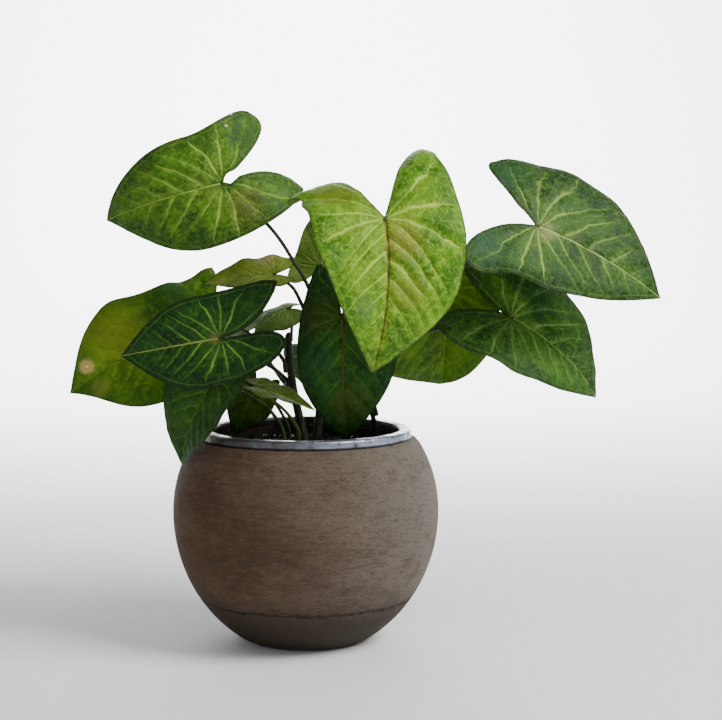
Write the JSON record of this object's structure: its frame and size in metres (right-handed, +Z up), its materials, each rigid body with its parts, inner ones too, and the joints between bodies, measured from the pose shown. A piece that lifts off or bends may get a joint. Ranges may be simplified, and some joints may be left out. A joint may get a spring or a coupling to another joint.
{
  "type": "potted arrowhead plant",
  "caption": "Arrowhead-shaped leaves on slender stalks and stems, rooted in soil in a round clay pot with a metal lip band.",
  "frame": {"origin": "centre of the pot's flat base, on the surface it stands on", "axes": "+Z up, +X to the right and -Y towards the viewer as the picture shows the plant"},
  "size_m": [0.3586, 0.2056, 0.3214],
  "materials": {
    "clay": "matte",
    "lip_metal": "satin",
    "soil": "matte",
    "stem": "satin",
    "foliage": "satin"
  },
  "bodies": {
    "root": {"pot": "clay", "pot_lip_band": "lip_metal", "soil": "soil", "stem_centre": "stem", "stem_left": "stem", "stem_right": "stem", "leaf_top_left": "foliage", "leaf_front": "foliage", "leaf_right": "foliage", "leaf_low_right": "foliage", "leaf_low_middle": "foliage", "leaf_inner": "foliage", "leaf_behind": "foliage", "leaf_folded": "foliage", "leaf_large_left": "foliage", "leaf_dark_left": "foliage", "leaf_over_rim": "foliage", "leaf_in_mouth": "foliage", "leaf_young": "foliage", "leaf_narrow": "foliage", "leaf_back_right": "foliage", "leaf_back_left": "foliage", "leaf_back_middle": "foliage"}
  },
  "joints": []
}
